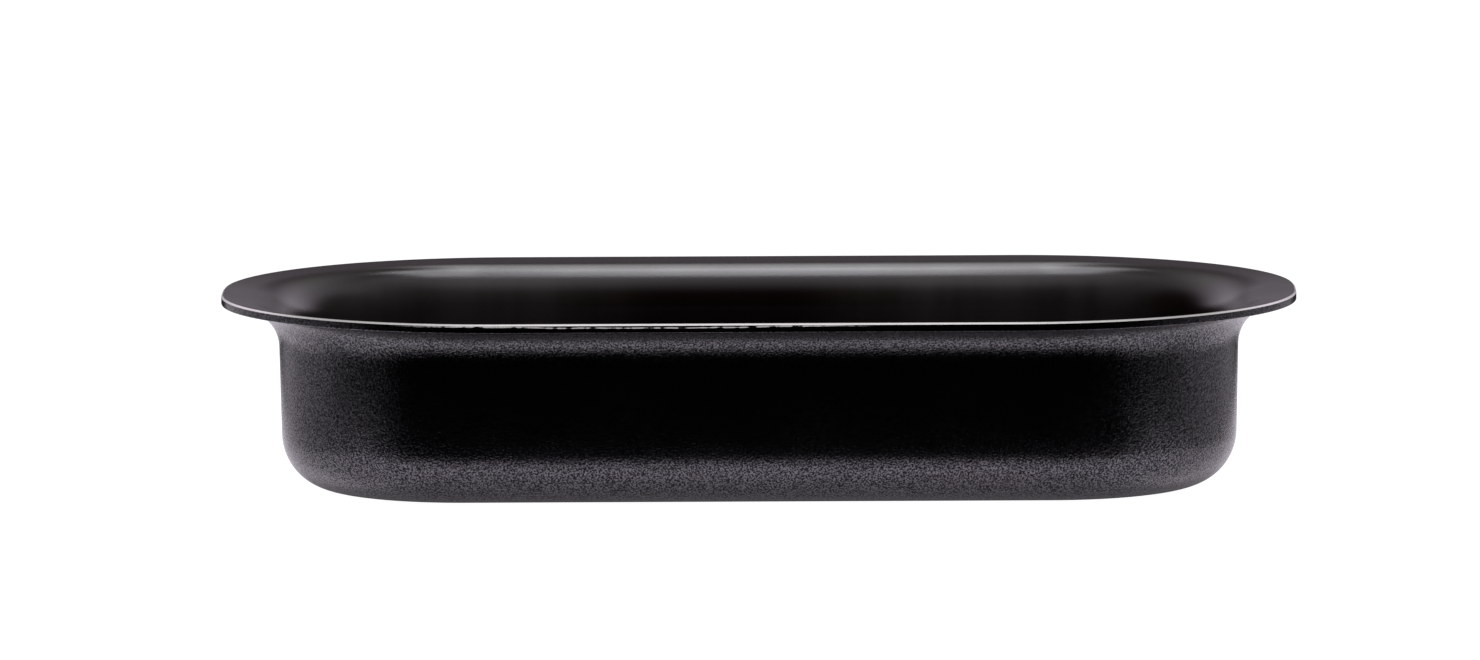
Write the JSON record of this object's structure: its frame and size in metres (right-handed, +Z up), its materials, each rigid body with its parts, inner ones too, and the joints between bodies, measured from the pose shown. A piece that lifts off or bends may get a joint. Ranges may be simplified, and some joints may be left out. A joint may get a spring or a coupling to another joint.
{
  "type": "baking pan",
  "caption": "Long oblong roasting and baking pan with a wide flared rim, steep walls, a rounded bottom edge and a flat base, coated black inside and outside.",
  "frame": {"origin": "middle of the flat base, on the surface that the pan stands on", "axes": "+X along the pan's length, +Y across it, +Z up"},
  "size_m": [0.4, 0.224, 0.071],
  "materials": {
    "aluminium": "satin",
    "lining": "satin",
    "enamel": "matte"
  },
  "bodies": {
    "root": {"pan_body": "aluminium", "nonstick_lining": "lining", "outer_enamel": "enamel"}
  },
  "joints": []
}
